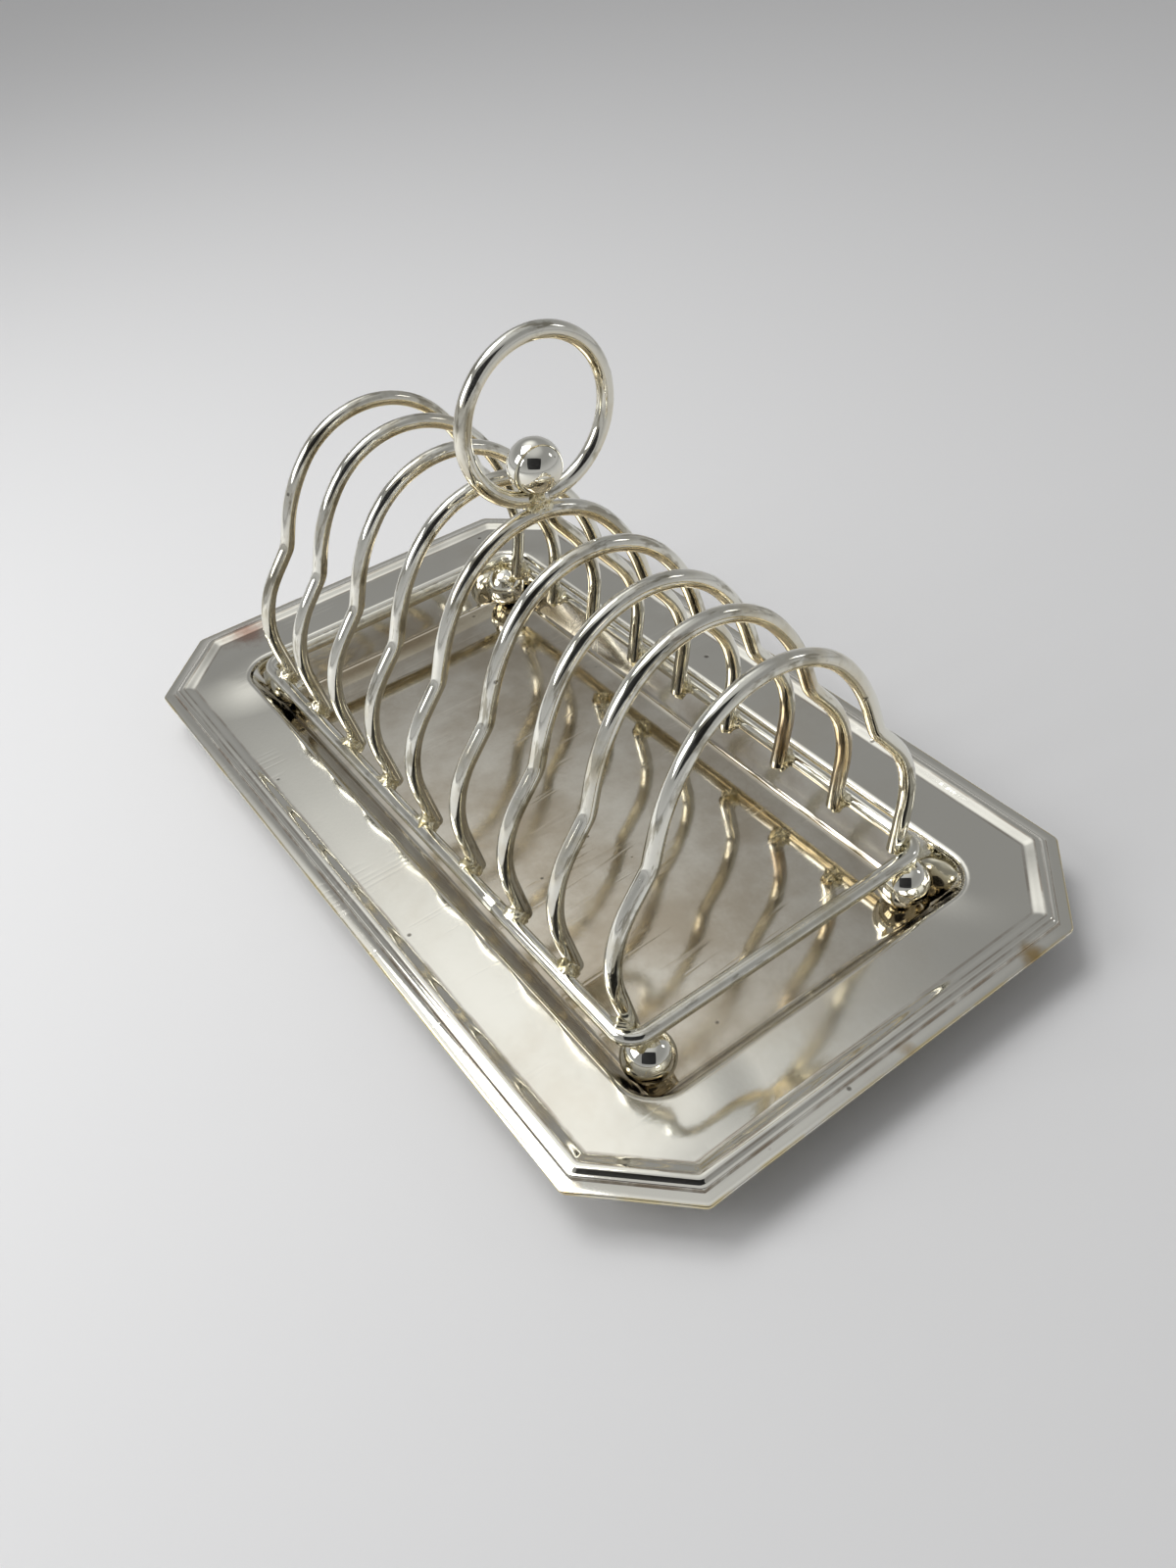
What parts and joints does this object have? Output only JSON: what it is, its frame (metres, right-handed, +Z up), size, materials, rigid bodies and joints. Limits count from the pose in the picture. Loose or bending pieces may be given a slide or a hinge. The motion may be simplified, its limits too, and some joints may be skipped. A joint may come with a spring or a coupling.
{
  "type": "toast rack",
  "caption": "Silver-plated toast rack of waisted wire arches with a ring handle, on ball feet in the well of a cut-cornered tray.",
  "frame": {"origin": "on the table under the middle of the tray", "axes": "+X along the tray towards the end where the last arch meets the end rail, +Y across it, +Z up"},
  "size_m": [0.25, 0.15, 0.1323],
  "materials": {
    "tray_plate": "polished",
    "wire_plate": "polished",
    "ball_plate": "polished",
    "solder": "satin"
  },
  "bodies": {
    "tray": {"tray": "tray_plate"},
    "rack": {"base_frame": "wire_plate", "arch_1": "wire_plate", "arch_2": "wire_plate", "arch_3": "wire_plate", "arch_4": "wire_plate", "arch_5": "wire_plate", "arch_6": "wire_plate", "arch_7": "wire_plate", "arch_8": "wire_plate", "arch_9": "wire_plate", "ring_handle": "wire_plate", "handle_ball": "ball_plate", "foot_near_left": "ball_plate", "foot_near_right": "ball_plate", "foot_far_left": "ball_plate", "foot_far_right": "ball_plate", "arch_solder_left": "solder", "arch_solder_right": "solder", "foot_solder": "solder", "handle_solder": "solder"}
  },
  "joints": [
    {"name": "rack_lift", "type": "slide", "parent": "tray", "child": "rack", "axis": [0, 0, 1], "range_m": [0, 0.08]}
  ]
}
